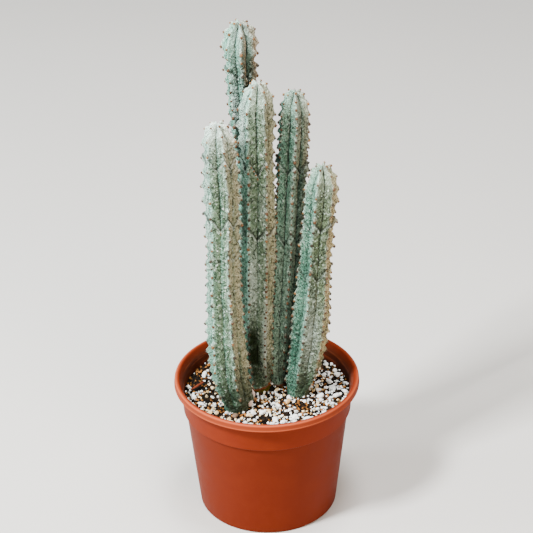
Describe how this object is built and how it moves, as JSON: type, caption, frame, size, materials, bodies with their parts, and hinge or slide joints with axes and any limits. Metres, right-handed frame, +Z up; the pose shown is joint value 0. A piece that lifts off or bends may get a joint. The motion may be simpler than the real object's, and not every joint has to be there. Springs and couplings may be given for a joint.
{
  "type": "potted columnar cactus",
  "caption": "Columnar cactus in a round plastic nursery pot: tall ribbed, toothed grey-green stems of unequal height standing in pale gritty soil.",
  "frame": {"origin": "centre of the pot's flat base, on the surface that it stands on", "axes": "+Z up along the pot's axis; the front of the plant faces -Y and its right side faces +X"},
  "size_m": [0.151, 0.151, 0.414],
  "materials": {
    "pot_plastic": "satin",
    "gritty_soil": "matte",
    "stem_left_skin": "matte",
    "stem_tall_skin": "matte",
    "stem_middle_skin": "matte",
    "stem_inner_skin": "matte",
    "stem_right_skin": "matte"
  },
  "bodies": {
    "root": {"pot": "pot_plastic", "soil": "gritty_soil", "stem_left": "stem_left_skin", "stem_tall": "stem_tall_skin", "stem_middle": "stem_middle_skin", "stem_inner": "stem_inner_skin", "stem_right": "stem_right_skin"}
  },
  "joints": []
}
